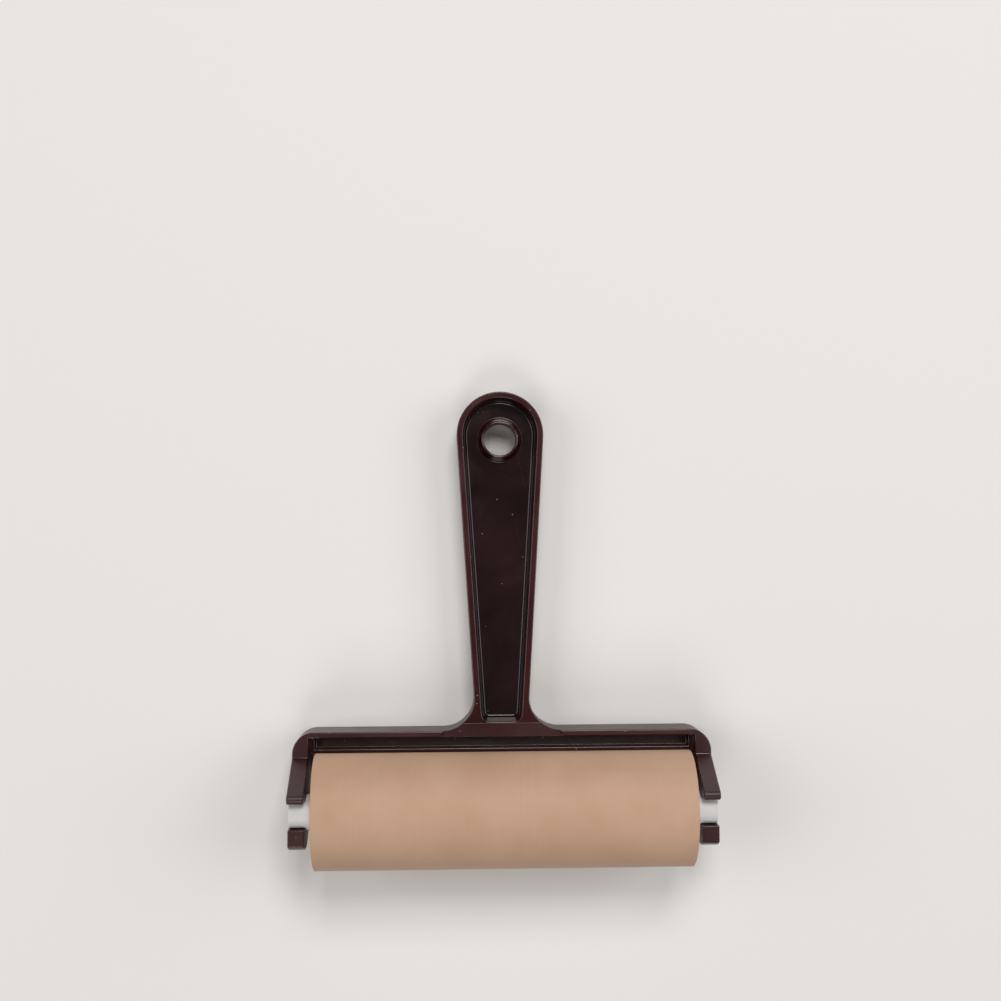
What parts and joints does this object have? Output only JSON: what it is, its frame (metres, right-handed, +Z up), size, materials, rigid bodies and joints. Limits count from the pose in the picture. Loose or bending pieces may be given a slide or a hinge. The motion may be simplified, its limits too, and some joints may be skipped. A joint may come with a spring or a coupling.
{
  "type": "rubber brayer",
  "caption": "Hand ink roller: a soft rubber roller whose axle, with a plastic block on each end, snaps into the open slots of a one-piece plastic frame with a hollowed handle and a hang hole.",
  "frame": {"origin": "bottom centre of the bounding box, on the plane that the brayer lies on", "axes": "+X along the roller, to the right; +Y from the roller towards the handle's butt; +Z up, towards the open side of the axle slots"},
  "size_m": [0.1154, 0.1298, 0.0362],
  "materials": {
    "frame_plastic": "glossy injection moulding, dark oxblood",
    "white_nylon": "moulded nylon, satin",
    "axle_steel": "zinc-plated rod, drawn",
    "roller_rubber": "ground soft gum rubber, matte tan",
    "core_plastic": "extruded tube, matte"
  },
  "bodies": {
    "frame": {"frame": "frame_plastic"},
    "axle": {"axle": "axle_steel", "left_axle_block": "white_nylon", "right_axle_block": "white_nylon"},
    "roller": {"rubber_sleeve": "roller_rubber", "core_tube": "core_plastic", "left_hub": "white_nylon", "right_hub": "white_nylon"}
  },
  "joints": [
    {"name": "roller_snap_out", "type": "slide", "parent": "frame", "child": "axle", "axis": [0, -0.0872, 0.9962], "range_m": [0, 0.03]},
    {"name": "roller_spin", "type": "hinge", "parent": "axle", "child": "roller", "pos_m": [0, -0.0494, 0.0207], "axis": [1, 0, 0], "continuous": true}
  ]
}
